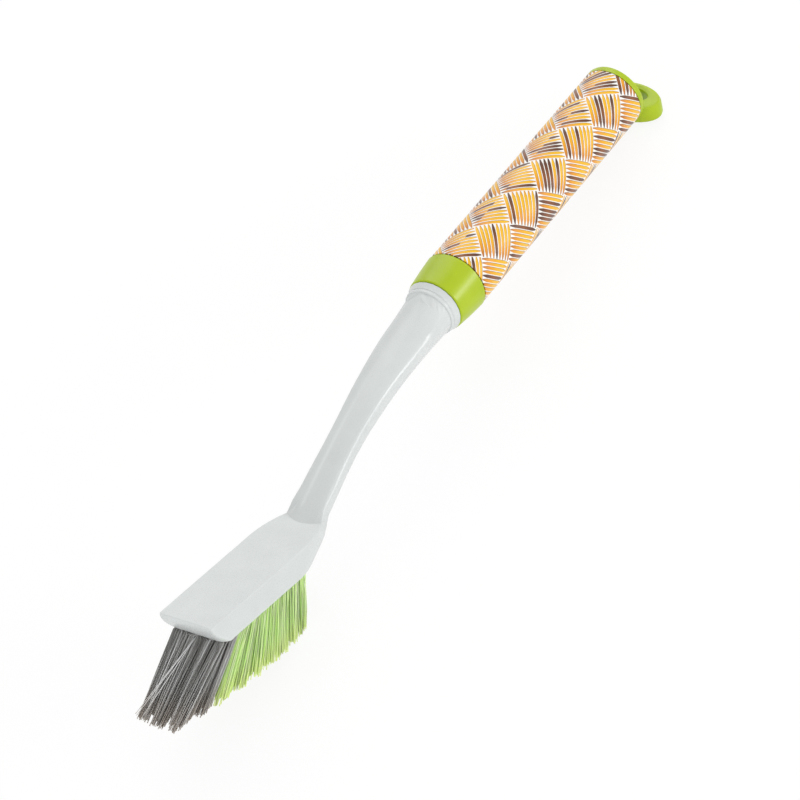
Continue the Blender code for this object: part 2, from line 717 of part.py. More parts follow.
# The handle's own frame stands at the spigot's shoulder, with its Z along the handle and its X downwards.
handle_axis = empty("handle_axis", at_rest)
neck_end, _ = neck_spine(1.0)
handle_axis.location = neck_end + ALONG_HANDLE * (RING_LENGTH + GAP)
handle_axis.rotation_euler = (0.0, math.pi / 2 - HANDLE_ANGLE, 0.0)

tube_foot = COLLAR_LENGTH + GAP
tube_top = tube_foot + TUBE_LENGTH
collar(lime, handle_axis)
pipe("handle_tube", TUBE_DIAMETER / 2, TUBE_WALL, tube_foot, tube_top, white, handle_axis)
pipe(
    "printed_sleeve", SLEEVE_DIAMETER / 2, SLEEVE_WALL, tube_foot, tube_top, print_film, handle_axis
)
cap_axis = empty("cap_axis", handle_axis)
cap_axis.location = (0.0, 0.0, tube_top + GAP)
cap = end_cap(lime, cap_axis)

tufts = tufts_and_anchors(head, bristle, at_rest)

pieces = [obj for obj in bpy.data.objects if obj.type == "MESH" and not obj.hide_render]
lay_down(at_rest, points_of(tufts), points_of([cap]), points_of(pieces))
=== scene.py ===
import json
import math
import random

import bpy
import numpy as np
from mathutils import Matrix, Vector


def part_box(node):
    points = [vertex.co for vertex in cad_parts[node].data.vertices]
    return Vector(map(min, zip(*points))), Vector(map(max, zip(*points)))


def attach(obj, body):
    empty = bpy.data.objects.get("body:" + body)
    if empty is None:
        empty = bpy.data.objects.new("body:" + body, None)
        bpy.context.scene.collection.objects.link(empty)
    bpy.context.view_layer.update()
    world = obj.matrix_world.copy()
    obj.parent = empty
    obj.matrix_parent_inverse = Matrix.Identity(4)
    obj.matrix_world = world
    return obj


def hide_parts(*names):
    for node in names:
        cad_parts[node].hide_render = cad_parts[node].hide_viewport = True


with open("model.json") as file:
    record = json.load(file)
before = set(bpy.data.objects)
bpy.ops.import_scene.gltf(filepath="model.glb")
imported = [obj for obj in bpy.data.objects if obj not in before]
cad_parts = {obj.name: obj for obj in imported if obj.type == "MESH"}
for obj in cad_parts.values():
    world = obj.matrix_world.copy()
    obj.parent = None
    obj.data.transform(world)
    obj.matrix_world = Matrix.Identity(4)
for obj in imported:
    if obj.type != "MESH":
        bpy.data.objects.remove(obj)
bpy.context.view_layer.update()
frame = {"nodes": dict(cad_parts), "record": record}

MM = 0.001

# The head and neck are one injection moulding in pale grey polypropylene. The flat-topped head has a
# chin that draws back under its lip. The neck springs from a crease at its rear, crowned between crisp
# edges, and ends in a ring and the spigot that carries the handle.


def linear(hex_colour):
    """The linear colour of an sRGB hex value."""
    steps = [int(hex_colour[i : i + 2], 16) / 255 for i in (1, 3, 5)]
    return (*(c / 12.92 if c <= 0.04045 else ((c + 0.055) / 1.055) ** 2.4 for c in steps), 1.0)


def add_node(tree, kind, links=(), **settings):
    """Adds a node with its settings. links gives each input its value or the output that feeds it."""
    made = tree.nodes.new("ShaderNode" + kind)
    for name, value in settings.items():
        setattr(made, name, value)
    for name, value in dict(links).items():
        if isinstance(value, bpy.types.NodeSocket):
            tree.links.new(value, made.inputs[name])
        else:
            made.inputs[name].default_value = value
    return made


def finish_named(name):
    """A new material, with its tree and its shader."""
    made = bpy.data.materials.new(name)
    made.use_nodes = True
    return made, made.node_tree, made.node_tree.nodes["Principled BSDF"]


def set_up(shader, **values):
    """Sets a shader's own sockets, with underscores for the spaces in their names."""
    for name, value in values.items():
        shader.inputs[name.replace("_", " ")].default_value = value


SAME_POINT = 0.002 * MM  # corners nearer to each other than this are one


def merged_copy(node, name):
    """Copies a CAD node's mesh and closes its loose triangles up."""
    bpy.ops.object.select_all(action="DESELECT")
    piece = bpy.data.objects.new(name, frame["nodes"][node].data.copy())
    piece.data.name = name
    piece.data.materials.clear()
    bpy.context.scene.collection.objects.link(piece)
    piece.select_set(True)
    bpy.context.view_layer.objects.active = piece
    bpy.ops.object.mode_set(mode="EDIT")
    bpy.ops.mesh.select_all(action="SELECT")
    bpy.ops.mesh.remove_doubles(threshold=SAME_POINT)
    bpy.ops.mesh.customdata_custom_splitnormals_clear()
    bpy.ops.object.mode_set(mode="OBJECT")
    return piece


def stand_for(piece, node, angle):
    """Shades a merged copy's curved faces smooth, and lets it take its node's place."""
    bpy.ops.object.shade_smooth_by_angle(angle=math.radians(angle))
    evened = piece.modifiers.new("even_normals", "WEIGHTED_NORMAL")
    evened.keep_sharp = True
    bpy.ops.object.modifier_apply(modifier=evened.name)
    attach(piece, "root")
    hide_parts(node)


mounts = {mount["name"]: mount for mount in frame["record"]["mounts"]}
head_up = Vector(mounts["head_top"]["axis"])
head_along = Vector((head_up.z, 0.0, -head_up.x))
HEAD_MOUNT_FROM_LIP = 30.0 * MM
head_frame = Matrix((head_along, (0.0, 1.0, 0.0), head_up)).transposed().to_4x4()
head_frame.translation = Vector(mounts["head_top"]["pos_m"]) - head_along * HEAD_MOUNT_FROM_LIP

moulding = merged_copy("head_and_neck", "head_and_neck_moulding")

# The neck's middle line, in the head's frame, and how its upper half is finished along it. The numbers
# in brackets go from the neck's foot to its ring.
NECK_START = Vector((68.5 * MM, 0.0, 0.9 * MM))
NECK_FOOT_PULL = NECK_START + Vector((28.213 * MM, 0.0, 19.03 * MM))
NECK_END = NECK_START + Vector((70.9 * MM, 0.0, 32.87 * MM))
NECK_END_PULL = NECK_END - Vector((18.101 * MM, 0.0, 3.486 * MM))
NECK_SECTIONS = 18
ALONG_NECK = (0.0, 0.25, 0.5, 0.75, 1.0)
EDGE_OUT = np.array((0.0, 0.35, 0.4, 0.55, 0.0)) * MM  # the crisp edges stand out from the walls
EDGE_UP = np.array((0.0, 0.2, 0.25, 0.6, 0.0)) * MM
CROWN_LOWERED = np.array((0.0, 0.1, 1.2, 1.3, 0.0)) * MM
CROWN_LOWERED_AT = (0.25, 0.5, 0.73, 0.86, 1.0)
CROWN_POWERS = (8.0, 3.5, 2.4, 2.2, 2.0)
CROWN_FULLNESS = (1.0, 1.0, 1.0, 0.95, 0.5)
EDGE_ROUNDED = 0.9 * MM
CORNER_STEPS = (0.0, 1 / 3, 2 / 3, 1.0)
FIRST_CORNER_ANGLE = math.radians(7.5)  # where the solid's rounded corner has its first point
FIRST_CORNER_DROP = 1 - math.sin(FIRST_CORNER_ANGLE)  # from the top down to it, in radii
CROWN_CUTS = (-0.8 * MM, -0.4 * MM, 0.0, 0.4 * MM, 0.8 * MM)
CROWN_SHARES = (0.8, 0.62, 0.42, 0.2, 0.0)
CROWN_REACH = 3.5 * MM  # the flat across the top ends nearer to the middle than this
FACES_UP = 0.3  # a face points up where its normal rises by more than this
SECTION_PLAY = 0.01 * MM
UPPER_REACH = 9.9 * MM  # the neck's upper half stays nearer to its middle line than this
into_head = head_frame.inverted()


def neck_section(t):
    """The middle of a section of the neck, the way along the neck there, and the way up."""
    middle = NECK_START * (1 - t) ** 3 + NECK_FOOT_PULL * 3 * t * (1 - t) ** 2
    middle += NECK_END_PULL * 3 * t**2 * (1 - t) + NECK_END * t**3
    way = (NECK_FOOT_PULL - NECK_START) * (1 - t) ** 2
    way += (NECK_END_PULL - NECK_FOOT_PULL) * 2 * t * (1 - t)
    way = (way + (NECK_END - NECK_END_PULL) * t**2).normalized()
    return middle, way, Vector((-way.z, 0.0, way.x))


def upper_half(piece, section):
    """The vertices of a section's upper half, from one side to the other, with their place in it."""
    middle, way, rise = neck_section(section / NECK_SECTIONS)
    found = []
    for vertex in piece.data.vertices:
        point = into_head @ vertex.co - middle
        if abs(point.dot(way)) < SECTION_PLAY and 0 < point.dot(rise) < UPPER_REACH:
            found.append((point.y, point.dot(rise), vertex.index))
    return sorted(found, reverse=True)


# The diagonals across the top are dissolved, and the top is cut lengthwise, to crown each section.
belongs = {}
for section in range(1, NECK_SECTIONS):
    for _, _, index in upper_half(moulding, section):
        belongs[index] = section
bpy.ops.object.mode_set(mode="EDIT")
bpy.ops.mesh.select_mode(type="EDGE")
bpy.ops.mesh.select_all(action="DESELECT")
bpy.ops.object.mode_set(mode="OBJECT")
for edge in moulding.data.edges:
    a, b = edge.vertices
    crosses = moulding.data.vertices[a].co.y * moulding.data.vertices[b].co.y < 0
    edge.select = crosses and a in belongs and b in belongs and belongs[a] != belongs[b]
bpy.ops.object.mode_set(mode="EDIT")
bpy.ops.mesh.dissolve_edges(use_verts=False)
bpy.ops.mesh.select_mode(type="FACE")
first_section = neck_section(1 / NECK_SECTIONS)[0].x
last_section = neck_section(1 - 1 / NECK_SECTIONS)[0].x
for cut in CROWN_CUTS:
    bpy.ops.mesh.select_all(action="DESELECT")
    bpy.ops.object.mode_set(mode="OBJECT")
    for face in moulding.data.polygons:
        middle = into_head @ face.center
        flat = (into_head.to_3x3() @ face.normal).z > FACES_UP and abs(middle.y) < CROWN_REACH
        face.select = flat and first_section < middle.x < last_section
    bpy.ops.object.mode_set(mode="EDIT")
    bpy.ops.mesh.bisect(plane_co=(0.0, cut, 0.0), plane_no=(0.0, 1.0, 0.0))
bpy.ops.object.mode_set(mode="OBJECT")

# Each section gets its walls, its rounded edges and its crown, and is then mirrored.
for section in range(1, NECK_SECTIONS):
    t = section / NECK_SECTIONS
    middle, way, rise = neck_section(t)
    upper = upper_half(moulding, section)
    sideways = (upper[0][0] + upper[-1][0]) / 2
    half, depth = upper[0][0] - sideways, max(entry[1] for entry in upper)
    edge = depth - (depth - upper[0][1]) / FIRST_CORNER_DROP + np.interp(t, ALONG_NECK, EDGE_UP)
    half += np.interp(t, ALONG_NECK, EDGE_OUT)
    crown = depth - np.interp(t, CROWN_LOWERED_AT, CROWN_LOWERED) - edge
    power, fullness = np.interp(t, ALONG_NECK, CROWN_POWERS), np.interp(t, ALONG_NECK, CROWN_FULLNESS)
    onto_crown = 1 - EDGE_ROUNDED / half
    rounded_to = (half * onto_crown, edge + crown * (1 - onto_crown**power) ** fullness)
    outline = []
    for turned in CORNER_STEPS:
        wall, crest, top = (1 - turned) ** 2, 2 * turned * (1 - turned), turned**2
        outline.append(
            (
                half * (wall + crest) + rounded_to[0] * top,
                (edge - EDGE_ROUNDED) * wall + edge * crest + rounded_to[1] * top,
            )
        )
    for share in CROWN_SHARES:
        outline.append((half * share, edge + crown * (1 - share**power) ** fullness))
    outline += [(-y, z) for y, z in reversed(outline[:-1])]
    for (y, z), (_, _, index) in zip(outline, upper, strict=True):
        place = middle + rise * z + Vector((0.0, y + sideways, 0.0))
        moulding.data.vertices[index].co = head_frame @ place
moulding.data.update()
stand_for(moulding, "head_and_neck", angle=20)

# The plastic is satin from its spark-eroded mould, and a little light soaks into it. A painted highlight,
# a pale line in the base colour that stands in for a lamp's reflection on the neck's crown, runs up the
# neck and fades towards the ring.
MOULD_GRAIN = 0.25 * MM  # coarser than the real 0.05 mm, so that it shows
FLOW_SIZE = 9.0 * MM  # slow waves, where the melt cooled unevenly
head_finish, tree, shader = finish_named("moulded_grey_polypropylene")
place = add_node(tree, "TexCoord").outputs["Object"]
grain = add_node(tree, "TexNoise", {"Vector": place, "Scale": 1 / MOULD_GRAIN, "Detail": 2.0})
flow = add_node(tree, "TexNoise", {"Vector": place, "Scale": 1 / FLOW_SIZE, "Detail": 1.0})
tint = add_node(tree, "ValToRGB", {"Fac": flow.outputs["Fac"]})
tint.color_ramp.elements[0].position = 0.3
tint.color_ramp.elements[0].color = linear("#d6dad9")
tint.color_ramp.elements[1].position = 0.7
tint.color_ramp.elements[1].color = linear("#dadedd")
# Painted highlight: where this pale line lies on the neck's top, and how strongly it shows.
HIGHLIGHT_LINE_ACROSS = 2.0 * MM  # beside the neck's middle
HIGHLIGHT_LINE_WIDTH = 2.0 * MM
HIGHLIGHT_LINE_SHOWS = 0.6
HIGHLIGHT_LINE_STARTS = 3 * MM  # behind the neck's foot
HIGHLIGHT_LINE_DIMS = 20 * MM
HIGHLIGHT_LINE_ENDS = 60 * MM
CREASE_AHEAD = 4 * MM  # the neck's foot lies this far ahead of its first section
parts = add_node(tree, "SeparateXYZ", {"Vector": place})
beside = add_node(tree, "Math", {0: parts.outputs["Y"], 1: HIGHLIGHT_LINE_ACROSS}, operation="SUBTRACT")
beside = add_node(tree, "Math", {0: beside.outputs[0]}, operation="ABSOLUTE")
in_highlight_line = add_node(
    tree,
    "MapRange",
    {"Value": beside.outputs[0], "From Max": HIGHLIGHT_LINE_WIDTH / 2, "To Min": 1.0, "To Max": 0.0},
)
neck_foot = (head_frame @ (NECK_START - Vector((CREASE_AHEAD, 0.0, 0.0)))).x
highlight_after_foot = add_node(
    tree,
    "MapRange",
    {
        "Value": parts.outputs["X"],
        "From Min": neck_foot,
        "From Max": neck_foot + HIGHLIGHT_LINE_STARTS,
    },
)
highlight_fading = add_node(
    tree,
    "MapRange",
    {
        "Value": parts.outputs["X"],
        "From Min": neck_foot + HIGHLIGHT_LINE_DIMS,
        "From Max": neck_foot + HIGHLIGHT_LINE_ENDS,
        "To Min": HIGHLIGHT_LINE_SHOWS,
        "To Max": 0.0,
    },
)
# The painted highlight's strength: inside the line, past the neck's foot, fading towards the ring.
painted_highlight = add_node(tree, "Math", {0: in_highlight_line.outputs[0], 1: highlight_after_foot.outputs[0]}, operation="MULTIPLY")
painted_highlight = add_node(tree, "Math", {0: painted_highlight.outputs[0], 1: highlight_fading.outputs[0]}, operation="MULTIPLY")
# The base colour turns to the painted highlight's pale colour by that strength.
tint = add_node(
    tree, "Mix", {0: painted_highlight.outputs[0], 6: tint.outputs["Color"], 7: linear("#e9edec")}, data_type="RGBA"
)
satin = add_node(
    tree,
    "MapRange",
    {"Value": grain.outputs["Fac"], "From Min": 0.3, "From Max": 0.7, "To Min": 0.25, "To Max": 0.32},
)
waves = add_node(tree, "Bump", {"Height": flow.outputs["Fac"], "Strength": 0.35, "Distance": 0.05 * MM})
eroded = add_node(
    tree,
    "Bump",
    {
        "Height": grain.outputs["Fac"],
        "Strength": 0.25,
        "Distance": 0.01 * MM,
        "Normal": waves.outputs["Normal"],
    },
)
tree.links.new(tint.outputs[2], shader.inputs["Base Color"])
tree.links.new(satin.outputs["Result"], shader.inputs["Roughness"])
tree.links.new(eroded.outputs["Normal"], shader.inputs["Normal"])
set_up(shader, IOR=1.49, Subsurface_Weight=0.12)
set_up(shader, Subsurface_Radius=(1.0, 1.0, 1.0), Subsurface_Scale=1.2 * MM)
moulding.data.materials.append(head_finish)

# Each tuft of bristle is folded round a flat anchor, cut from galvanised wire and driven into its hole.
# The zinc is dull, with soft brighter spangles. The anchors lie deep in the holes, under the bristles.
SPANGLE = 0.6 * MM  # across one crystal of zinc
wire_finish, tree, shader = finish_named("galvanised_wire")
place = add_node(tree, "TexCoord").outputs["Object"]
spangle = add_node(tree, "TexVoronoi", {"Vector": place, "Scale": 1 / SPANGLE})
zinc = add_node(tree, "ValToRGB", {"Fac": spangle.outputs["Distance"]})
zinc.color_ramp.elements[0].color = linear("#b9bcbf")
zinc.color_ramp.elements[1].color = linear("#8f9396")
dulled = add_node(
    tree, "MapRange", {"Value": spangle.outputs["Distance"], "To Min": 0.3, "To Max": 0.5}
)
tree.links.new(zinc.outputs["Color"], shader.inputs["Base Color"])
tree.links.new(dulled.outputs["Result"], shader.inputs["Roughness"])
set_up(shader, Metallic=1.0)
for name, node in frame["nodes"].items():
    if name.startswith("anchor_"):
        node.data.materials.clear()
        node.data.materials.append(wire_finish)

# The bristles are drawn polypropylene filaments, folded round their anchors and cut to length. The front
# tufts are grey and the rest bright green. The filaments fan out as soon as they leave their holes, cling
# together in small clumps, and end unevenly. They are smooth and let light through.
FIRST_TUFTS = ("01", "10", "19")  # the front end of each row
LAST_GREY_TUFTS = ("02", "11", "20")
LAST_TUFTS = ("09", "18", "27")
FILAMENT_RADIUS = 0.17 * MM
FILAMENT_SIDES = 6
SIDES_SMOOTH_UNDER = math.radians(65)  # its sides meet at 60 degrees, and its cut ends at 90
THICKNESS_VARIES = 0.15
FILAMENTS_IN_TUFT = 120
CLUMPS_IN_TUFT = 9
FILAMENT_STOPS = (0.0, 0.12 * MM, 0.3 * MM, 0.5 * MM, 0.75 * MM)  # out of the hole, then even steps
FILAMENT_STEPS = 3
OPENED = 0.5 * MM  # a tuft has fanned out this far from its hole, and fills the room to its neighbours
ROOM_ALONG = 2.8 * MM
ROOM_ACROSS = 4.3 * MM
ROOM_OUTSIDE = 2.2 * MM  # towards the head's side
ROOM_BEHIND = 1.6 * MM  # behind the last tufts
ROOM_IN_FRONT = 1.3 * MM  # before the first tufts
OUTSIDE_REACH_SHARE = 0.92  # of the solid's reach, at the tips towards the head's side and front
GREY_LEANS_BACK = 1.2 * MM  # the tips of the last grey tufts, towards the green ones
LONGER_REAR = 1.8 * MM  # worn less, the tufts behind the middle are longer by this much
LONGER_FROM = 24 * MM  # behind the lip
LONGER_OVER = 14 * MM
BUNDLE_RADIUS = 0.85 * MM
FOLD_DEPTH = 1.9 * MM  # the filaments fold round their anchor this far down the hole
HEAD_DEPTH = 8.0 * MM
ROOT_REACH = 2.5 * MM  # a solid tuft's root reaches further up into the head than this
TIPS_BELOW = 12 * MM  # and its tips lie further below the head than this
BOW = 0.35 * MM  # how far a filament bows from its straight line
CLUMP_UNEVEN = 1.0 * MM  # how far clumps end short of their tuft's length
END_UNEVEN = 0.4 * MM  # and filaments short of their clump's
LONG_SHARE = 0.5  # they end long by at most this share of it
CLING_SHARE = 0.25  # of the way to the middle of their clump, the tips draw in
TIP_WANDER = 0.4 * MM
FLOOR_CLEARANCE = 0.05 * MM
CLUMP_SHADE_SHARE = 0.3  # a clump's filaments share this much of their shade
STRAYS = {
    "grey_tuft_10": (
        (-3.4 * MM, 6.4 * MM, 2.5 * MM),
        (-1.8 * MM, 8.0 * MM, 1.6 * MM),
        (-3.6 * MM, 4.6 * MM, 2.0 * MM),
    )
}
STRAY_THICKNESS = 0.75
STRAY_SHADE = 0.85


def tuft_shape(node):
    """Reads off a tuft's solid its hole's mouth, its way out, its tips' middle and their reach."""
    points = [into_head @ vertex.co for vertex in frame["nodes"][node].data.vertices]
    foot = [point for point in points if point.z > -HEAD_DEPTH + ROOT_REACH]
    low = [point for point in points if point.z < -HEAD_DEPTH - TIPS_BELOW]
    middle = sum(foot, Vector()) / len(foot)
    tip = sum(low, Vector()) / len(low)
    way = (tip - middle).normalized()
    root = middle + way * ((-HEAD_DEPTH - middle.z) / way.z)
    reach = [(max(p[i] for p in low) - min(p[i] for p in low)) / 2 for i in (0, 1)]
    return root, way, tip, reach


def filament_line(rolls, start, mouth, axis_end, opened, end):
    """A filament from its fold, straight out of the hole, then fanning out beside its tuft's axis."""
    bow = Vector([rolls.uniform(-1, 1) * BOW for _ in range(3)])
    length = (axis_end - mouth).length
    line = [start]
    stops = [stop / length for stop in FILAMENT_STOPS]
    last = stops[-1]
    stops += [last + (1 - last) * step / FILAMENT_STEPS for step in range(1, FILAMENT_STEPS + 1)]
    for t in stops:
        opening = 1 - max(1 - t * length / OPENED, 0.0) ** 2
        spread = opened.lerp(end - axis_end, t) * opening
        line.append(mouth.lerp(axis_end, t) + spread + bow * math.sin(math.pi * t) ** 2)
    return line, [0.0, *stops]


def bristle_tuft(name, node, rolls):
    """A tuft's filaments in one mesh, which takes the place of its solid."""
    root, way, tip, reach = tuft_shape(node)
    tip += way * LONGER_REAR * min(max((root.x - LONGER_FROM) / LONGER_OVER, 0.0), 1.0)
    if node[-2:] in LAST_GREY_TUFTS:
        tip.x += GREY_LEANS_BACK
    ahead = Vector((0.0, 1.0, 0.0)).cross(way).normalized()
    across = way.cross(ahead)
    clear = BUNDLE_RADIUS * math.hypot(way.x, way.y) / abs(way.z)  # past the hole's slanting mouth
    clumps = [
        (rolls.uniform(-1, 1), rolls.uniform(-1, 1), rolls.uniform(-1, LONG_SHARE), rolls.random())
        for _ in range(CLUMPS_IN_TUFT)
    ]
    golden_angle = math.pi * (3 - math.sqrt(5))
    lines, shades, stops = [], [], []
    for i in range(FILAMENTS_IN_TUFT):
        out = math.sqrt((i + 0.5) / FILAMENTS_IN_TUFT)
        u, v = out * math.cos(i * golden_angle), out * math.sin(i * golden_angle)
        square = out / max(abs(u), abs(v))  # the spread is halfway between round and square
        u, v = u * (1 + square) / 2, v * (1 + square) / 2
        clump = min(clumps, key=lambda c: (c[0] - u) ** 2 + (c[1] - v) ** 2)
        in_hole = (ahead * u + across * v) * BUNDLE_RADIUS / max(1.0, math.hypot(u, v))
        u, v = u + (clump[0] - u) * CLING_SHARE, v + (clump[1] - v) * CLING_SHARE
        outside = v * root.y > 0 and abs(root.y) > ROOM_ACROSS
        in_front = node[-2:] in FIRST_TUFTS and u > 0
        behind = node[-2:] in LAST_TUFTS and u < 0
        room = ROOM_BEHIND if behind else ROOM_IN_FRONT if in_front else ROOM_ALONG
        opened = Vector((-u * room, v * (ROOM_OUTSIDE if outside else ROOM_ACROSS), 0.0))
        end = tip + Vector(
            (
                -u * reach[0] * (OUTSIDE_REACH_SHARE if in_front else 1.0),
                v * reach[1] * (OUTSIDE_REACH_SHARE if outside else 1.0),
                0.0,
            )
        )
        opened += Vector([rolls.uniform(-1, 1) * TIP_WANDER for _ in range(2)] + [0.0])
        end += way * (clump[2] * CLUMP_UNEVEN + rolls.uniform(-1, LONG_SHARE) * END_UNEVEN)
        end += Vector([rolls.uniform(-1, 1) * TIP_WANDER for _ in range(3)])
        mouth = root + way * clear + in_hole
        fold = root - way * FOLD_DEPTH + in_hole
        line, stops = filament_line(rolls, fold, mouth, tip + in_hole, opened - in_hole, end)
        lines.append(line)
        shades.append(CLUMP_SHADE_SHARE * clump[3] + (1 - CLUMP_SHADE_SHARE) * rolls.random())
    for stray in STRAYS.get(node, ()):
        front = ahead * BUNDLE_RADIUS
        mouth = root + way * clear + front
        line = [root - way * FOLD_DEPTH + front]
        line += [mouth.lerp(tip + Vector(stray), t) for t in stops[1:]]
        lines.append(line)
        shades.append(STRAY_SHADE)

    curve = bpy.data.curves.new(name, "CURVE")
    curve.dimensions = "3D"
    curve.bevel_depth = FILAMENT_RADIUS
    curve.bevel_resolution = FILAMENT_SIDES // 2 - 2
    for number, line in enumerate(lines):
        spline = curve.splines.new("POLY")
        spline.points.add(len(line) - 1)
        thick = STRAY_THICKNESS
        if number < FILAMENTS_IN_TUFT:
            thick = rolls.uniform(1 - THICKNESS_VARIES, 1 + THICKNESS_VARIES)
        for point, co in zip(spline.points, line):
            world = head_frame @ co
            world.z = max(world.z, FILAMENT_RADIUS + FLOOR_CLEARANCE)
            point.co = (*world, 1.0)
            point.radius = thick
        spline.use_smooth = True
    piece = bpy.data.objects.new(name, curve)
    bpy.context.scene.collection.objects.link(piece)
    bpy.ops.object.select_all(action="DESELECT")
    piece.select_set(True)
    bpy.context.view_layer.objects.active = piece
    bpy.ops.object.convert(target="MESH")
    piece = bpy.context.object
    mesh = piece.data
    each = len(mesh.vertices) // len(lines)
    shade = np.repeat(shades, each).astype(np.float32)
    reach_out = np.repeat(stops, each // len(stops)).astype(np.float32)
    mesh.attributes.new("shade", "FLOAT", "POINT").data.foreach_set("value", shade)
    worn = mesh.attributes.new("reach", "FLOAT", "POINT")
    worn.data.foreach_set("value", np.tile(reach_out, len(lines)))
    bpy.ops.object.mode_set(mode="EDIT")
    bpy.ops.mesh.select_all(action="SELECT")
    bpy.ops.mesh.fill_holes(sides=FILAMENT_SIDES)
    bpy.ops.object.mode_set(mode="OBJECT")
    bpy.ops.object.shade_smooth_by_angle(angle=SIDES_SMOOTH_UNDER)
    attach(piece, "root")
    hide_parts(node)
    return piece


WORN_FROM = 0.6  # the worn tint starts this far along a filament
WORN_SHARE = 0.7  # and takes this much of the colour at its tip


def filament_finish(name, shades, worn, roughness):
    """Drawn filament: each one has its own shade, and is warmer at its worn, cut end."""
    made, tree, shader = finish_named(name)
    shade = add_node(tree, "Attribute", attribute_name="shade").outputs["Fac"]
    reach = add_node(tree, "Attribute", attribute_name="reach").outputs["Fac"]
    body = add_node(tree, "ValToRGB", {"Fac": shade})
    body.color_ramp.elements[0].position = 0.0
    body.color_ramp.elements[0].color = linear(shades[0])
    body.color_ramp.elements[1].position = 1.0
    body.color_ramp.elements[1].color = linear(shades[-1])
    for i, colour in enumerate(shades[1:-1], start=1):
        step = body.color_ramp.elements.new(i / (len(shades) - 1))
        step.color = linear(colour)
    near_tip = add_node(
        tree, "MapRange", {"Value": reach, "From Min": WORN_FROM, "From Max": 1.0, "To Max": WORN_SHARE}
    )
    mixed = add_node(
        tree,
        "Mix",
        {0: near_tip.outputs["Result"], 6: body.outputs["Color"], 7: linear(worn)},
        data_type="RGBA",
    )
    tree.links.new(mixed.outputs[2], shader.inputs["Base Color"])
    set_up(shader, Roughness=roughness, IOR=1.5, Subsurface_Weight=0.8)
    set_up(shader, Subsurface_Radius=(1.0, 1.0, 1.0), Subsurface_Scale=0.8 * MM)
    return made


green_filament = filament_finish(
    "drawn_green_polypropylene", ("#b8ec70", "#d2ff9c", "#e0ffb2", "#ecffc6"), "#e8fe94", 0.4
)
grey_filament = filament_finish(
    "drawn_grey_polypropylene", ("#2e2d2d", "#868582", "#b6b6b4", "#ffffff"), "#a09489", 0.4
)
rolls = random.Random(7)
for node_name in sorted(frame["nodes"]):
    if "_tuft_" in node_name:
        colour, number = node_name.split("_tuft_")
        piece = bristle_tuft(f"{colour}_bristles_{number}", node_name, rolls)
        piece.data.materials.append(green_filament if colour == "green" else grey_filament)

# The collar is a slightly conical ring moulded in lime polypropylene, pushed over the spigot against the
# neck's ring. The end cap is the same plastic, with a plug inside the tube, a rounded flange and the
# hanging eye. Both are satin, and a little light soaks into them.
collar_ring = merged_copy("collar", "collar_ring")
stand_for(collar_ring, "collar", angle=32)
cap = merged_copy("end_cap", "end_cap_moulding")
stand_for(cap, "end_cap", angle=32)
lime_finish, tree, shader = finish_named("moulded_lime_polypropylene")
place = add_node(tree, "TexCoord").outputs["Object"]
grain = add_node(tree, "TexNoise", {"Vector": place, "Scale": 1 / MOULD_GRAIN, "Detail": 2.0})
flow = add_node(tree, "TexNoise", {"Vector": place, "Scale": 1 / FLOW_SIZE, "Detail": 1.0})
tint = add_node(tree, "ValToRGB", {"Fac": flow.outputs["Fac"]})
tint.color_ramp.elements[0].position = 0.3
tint.color_ramp.elements[0].color = linear("#acc312")
tint.color_ramp.elements[1].position = 0.7
tint.color_ramp.elements[1].color = linear("#b3c91e")
satin = add_node(
    tree,
    "MapRange",
    {"Value": grain.outputs["Fac"], "From Min": 0.3, "From Max": 0.7, "To Min": 0.28, "To Max": 0.36},
)
eroded = add_node(tree, "Bump", {"Height": grain.outputs["Fac"], "Strength": 0.25, "Distance": 0.01 * MM})
tree.links.new(tint.outputs["Color"], shader.inputs["Base Color"])
tree.links.new(satin.outputs["Result"], shader.inputs["Roughness"])
tree.links.new(eroded.outputs["Normal"], shader.inputs["Normal"])
set_up(shader, IOR=1.49, Specular_IOR_Level=0.4)
set_up(shader, Subsurface_Weight=0.15, Subsurface_Radius=(1.0, 1.0, 0.3), Subsurface_Scale=1.0 * MM)
for piece in (collar_ring, cap):
    piece.data.materials.append(lime_finish)

# The handle's tube is extruded in white polypropylene and cut to length. It is dull, with fine lines
# along it from the die. The printed sleeve covers it, and the collar and the cap close its ends.
handle_up = Vector(mounts["hanging_eye_face"]["axis"])
handle_along = Vector((handle_up.z, 0.0, -handle_up.x))
sleeve_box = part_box("printed_sleeve")
sleeve_middle = (sleeve_box[0] + sleeve_box[1]) / 2
sleeve_diameter = sleeve_box[1].y - sleeve_box[0].y
handle_turn = Matrix((-handle_up, (0.0, 1.0, 0.0), handle_along)).transposed().to_euler()
DIE_LINE = 0.4 * MM  # between lines, coarser than the real ones, so that they show
DIE_LINE_STRETCH = 60.0  # how much longer than wide they are
tube_finish, tree, shader = finish_named("extruded_white_polypropylene")
place = add_node(tree, "TexCoord").outputs["Object"]
along_tube = add_node(
    tree,
    "Mapping",
    {
        "Vector": place,
        "Location": sleeve_middle,
        "Rotation": handle_turn,
        "Scale": (1.0, 1.0, DIE_LINE_STRETCH),
    },
    vector_type="TEXTURE",
)
lines = add_node(tree, "TexNoise", {"Vector": along_tube.outputs["Vector"], "Scale": 1 / DIE_LINE})
drawn = add_node(tree, "Bump", {"Height": lines.outputs["Fac"], "Strength": 0.3, "Distance": 0.02 * MM})
whites = add_node(tree, "ValToRGB", {"Fac": lines.outputs["Fac"]})
whites.color_ramp.elements[0].color = linear("#dededc")
whites.color_ramp.elements[1].color = linear("#e8e8e6")
tree.links.new(whites.outputs["Color"], shader.inputs["Base Color"])
tree.links.new(drawn.outputs["Normal"], shader.inputs["Normal"])
set_up(shader, Roughness=0.42, IOR=1.49)
tube = frame["nodes"]["handle_tube"]
tube.data.materials.clear()
tube.data.materials.append(tube_finish)

